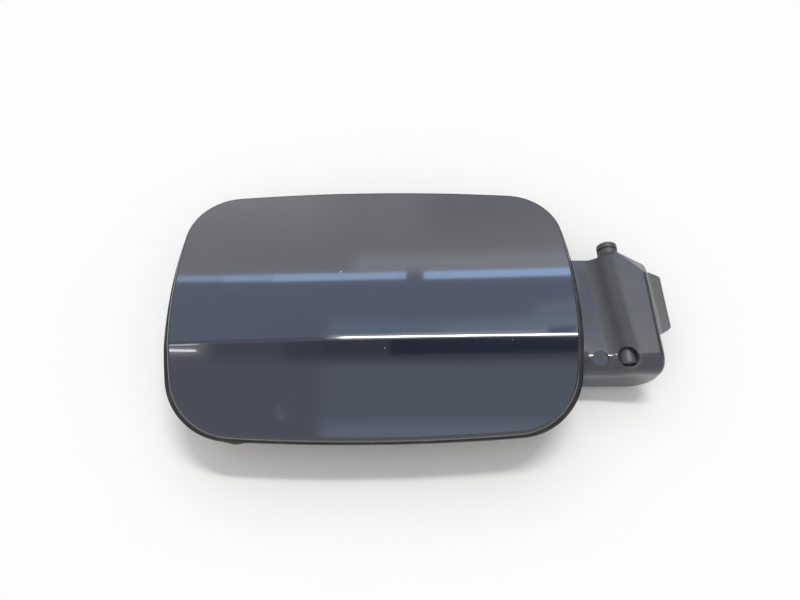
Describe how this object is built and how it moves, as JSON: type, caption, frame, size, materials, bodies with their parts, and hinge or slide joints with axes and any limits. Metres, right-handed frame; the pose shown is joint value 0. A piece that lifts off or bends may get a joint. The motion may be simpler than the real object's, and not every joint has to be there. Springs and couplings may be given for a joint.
{
  "type": "car fuel door",
  "caption": "Painted, creased car fuel door with a hemmed edge, on a moulded hinge arm that swings on a pin in a pressed bracket with a leaf-spring detent.",
  "frame": {"origin": "on the underside of the bracket, straight below the hinge axis and midway between its ears", "axes": "+X runs from the door towards its hinge and along the longest side, +Y is up on the car and along the hinge axis, +Z is out of the car and through the thinnest way"},
  "size_m": [0.229, 0.1258, 0.035],
  "materials": {
    "body_paint": "high-gloss dark body paint under clear coat, fine dust and a small chip",
    "inner_paint": "thin satin overspray of the body paint over dark primer",
    "seal_rubber": "matt black rubber bead, slightly dusty",
    "arm_moulding": "dark painted moulding with rubbed shoulders",
    "bracket_coat": "satin black dip coat over pressed steel",
    "pin_steel": "ground steel",
    "spring_steel": "blued spring steel",
    "bush_nylon": "dark moulded nylon",
    "fitting_nylon": "fine-grained black nylon",
    "bumper_rubber": "matt black rubber",
    "fastener_zinc": "zinc-plated steel",
    "rivet_zinc": "plain zinc-plated steel rivets"
  },
  "bodies": {
    "bracket": {"hinge_bracket": "bracket_coat", "hinge_pin": "pin_steel", "detent_spring": "spring_steel", "spring_rivet": "rivet_zinc"},
    "door": {"outer_panel": "body_paint", "inner_panel": "inner_paint", "edge_seal": "seal_rubber", "hinge_arm": "arm_moulding", "far_bush": "bush_nylon", "near_bush": "bush_nylon", "arm_screw_1": "fastener_zinc", "arm_screw_2": "fastener_zinc", "arm_screw_3": "fastener_zinc", "arm_nut_1": "fastener_zinc", "arm_nut_2": "fastener_zinc", "arm_nut_3": "fastener_zinc", "striker": "fitting_nylon", "striker_rivet_1": "rivet_zinc", "striker_rivet_2": "rivet_zinc", "cap_hook": "fitting_nylon", "hook_rivet_1": "rivet_zinc", "hook_rivet_2": "rivet_zinc", "upper_bumper": "bumper_rubber", "lower_bumper": "bumper_rubber"}
  },
  "joints": [
    {"name": "door_hinge", "type": "hinge", "parent": "bracket", "child": "door", "pos_m": [0, 0, 0.01901], "axis": [0, 1, 0], "range_deg": [0, 100], "deforming": ["detent_spring"]}
  ]
}
